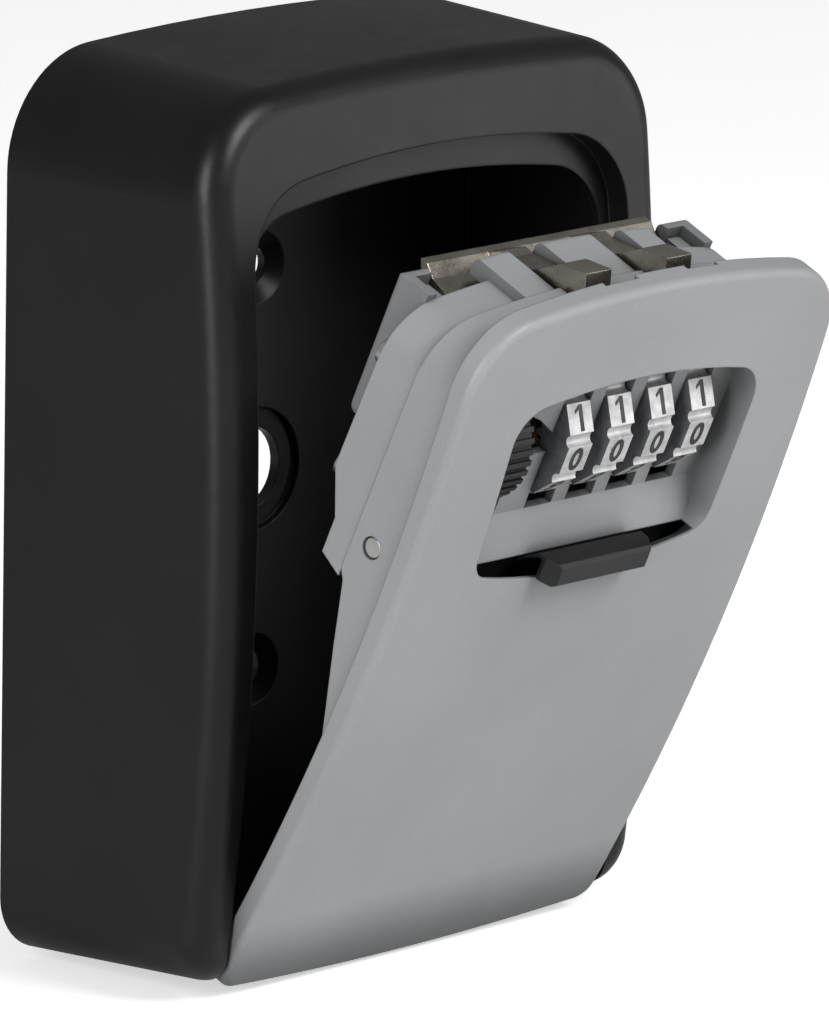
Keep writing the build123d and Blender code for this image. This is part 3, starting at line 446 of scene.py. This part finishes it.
for number in range(1, 5):
    joint = joints[f"wheel_{number}_spin"]
    centre = Vector(joint["pos_m"])
    # the front land's distance from the wheel's axis
    flat = max(
        -(door_turn.inverted() @ (v.co - centre)).y
        for v in nodes[f"number_wheel_{number}"].data.vertices
    )
    merged = bpy.data.meshes.new(f"wheel_{number}_numerals")
    verts, faces = [], []
    for digit in range(DIGIT_COUNT):
        if digit == 1:
            mesh = one_mesh(DIGIT_WIDTH, DIGIT_HEIGHT)
        else:
            mesh = text_mesh(str(digit), DIGIT_WIDTH, DIGIT_HEIGHT)
        spin = Matrix.Rotation(-digit * math.tau / DIGIT_COUNT, 4, "X")
        stand = Matrix.Rotation(math.pi / 2, 4, "X")
        place = (
            Matrix.Translation(centre)
            @ door_turn
            @ spin
            @ Matrix.Translation((0, -flat - DIGIT_PROUD, 0))
            @ stand
        )
        start = len(verts)
        verts += [place @ v.co for v in mesh.vertices]
        faces += [tuple(start + i for i in p.vertices) for p in mesh.polygons]
        bpy.data.meshes.remove(mesh)
    merged.from_pydata([tuple(v) for v in verts], [], faces)
    merged.materials.append(numeral)
    piece = bpy.data.objects.new(f"wheel_{number}_numerals", merged)
    scene.collection.objects.link(piece)
    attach(piece, f"wheel_{number}")

# ---------------------------------------------------------------- floor, light and camera
box_low, box_high = Vector(first_bounds[0]), Vector(first_bounds[1])
floor_mesh = bpy.data.meshes.new("floor")
floor_corners = [(x * FLOOR_HALF, y * FLOOR_HALF, 0) for x, y in ((-1, -1), (1, -1), (1, 1), (-1, 1))]
floor_mesh.from_pydata(floor_corners, [], [(0, 1, 2, 3)])
floor = bpy.data.objects.new("floor", floor_mesh)
floor.location.z = box_low.z - FLOOR_GAP
scene.collection.objects.link(floor)
fs = Shader("Floor")
fs.base(fs.mix(fs.noise(3.0), (0.86, 0.86, 0.86), (0.9, 0.9, 0.9)))
fs.roughness(fs.spread(fs.noise(8.0), 0.3, 0.7, 0.7, 0.85))
fs.relief([(fs.noise(300.0), 0.0001, 0.1)])
seen = fs.add("ShaderNodeLightPath").outputs["Is Camera Ray"]
fs.main.inputs["Emission Color"].default_value = (1, 1, 1, 1)
fs.link(fs.math("MULTIPLY", seen, FLOOR_GLOW), fs.main.inputs["Emission Strength"])
floor_mesh.materials.append(fs.material)

# the world is white to the camera and a dim grey to everything it lights
world = bpy.data.worlds.new("World")
scene.world = world
world.use_nodes = True
wt = world.node_tree
background = wt.nodes["Background"]
path = wt.nodes.new("ShaderNodeLightPath")
mixer = wt.nodes.new("ShaderNodeMix")
mixer.data_type = "RGBA"
mixer.inputs[6].default_value = (0.2, 0.2, 0.205, 1)
mixer.inputs[7].default_value = (1, 1, 1, 1)
wt.links.new(path.outputs["Is Camera Ray"], mixer.inputs[0])
wt.links.new(mixer.outputs[2], background.inputs[0])
background.inputs[1].default_value = 1.0


def softbox(name, place, target, width, height, power):
    """A rectangular lamp at place that faces target."""
    light = bpy.data.lights.new(name, "AREA")
    light.shape = "RECTANGLE"
    light.size = width
    light.size_y = height
    light.energy = power
    lamp = bpy.data.objects.new(name, light)
    scene.collection.objects.link(lamp)
    lamp.location = place
    lamp.rotation_euler = (Vector(target) - Vector(place)).to_track_quat("-Z", "Y").to_euler()


middle = (box_low + box_high) / 2
softbox("key", (0.25, -1.0, 0.75), middle, 0.5, 0.5, 10.5)
softbox("sheen", (0.85, -0.8, 0.0), middle, 0.7, 0.7, 3.6)
softbox("fill", (-1.1, -0.35, 0.35), middle, 0.3, 0.8, 9.0)

yaw, pitch, roll = (math.radians(a) for a in (CAMERA_YAW, CAMERA_PITCH, CAMERA_ROLL))
flat_reach = math.cos(pitch)
forward = Vector((math.sin(yaw) * flat_reach, math.cos(yaw) * flat_reach, -math.sin(pitch)))
level = Vector((math.cos(yaw), -math.sin(yaw), 0))
upright = level.cross(forward)
right = level * math.cos(roll) + upright * math.sin(roll)
up = upright * math.cos(roll) - level * math.sin(roll)
camera_data = bpy.data.cameras.new("camera")
camera = bpy.data.objects.new("camera", camera_data)
scene.collection.objects.link(camera)
camera_data.sensor_fit = "VERTICAL"
camera_data.sensor_height = 36.0
camera_data.lens = CAMERA_LENS
camera_data.clip_start = 0.05
camera_data.clip_end = 20.0
turn = Matrix((right, up, -forward)).transposed().to_4x4()
camera.matrix_world = Matrix.Translation(CAMERA_PLACE) @ turn
scene.camera = camera
scene.view_settings.view_transform = "Standard"
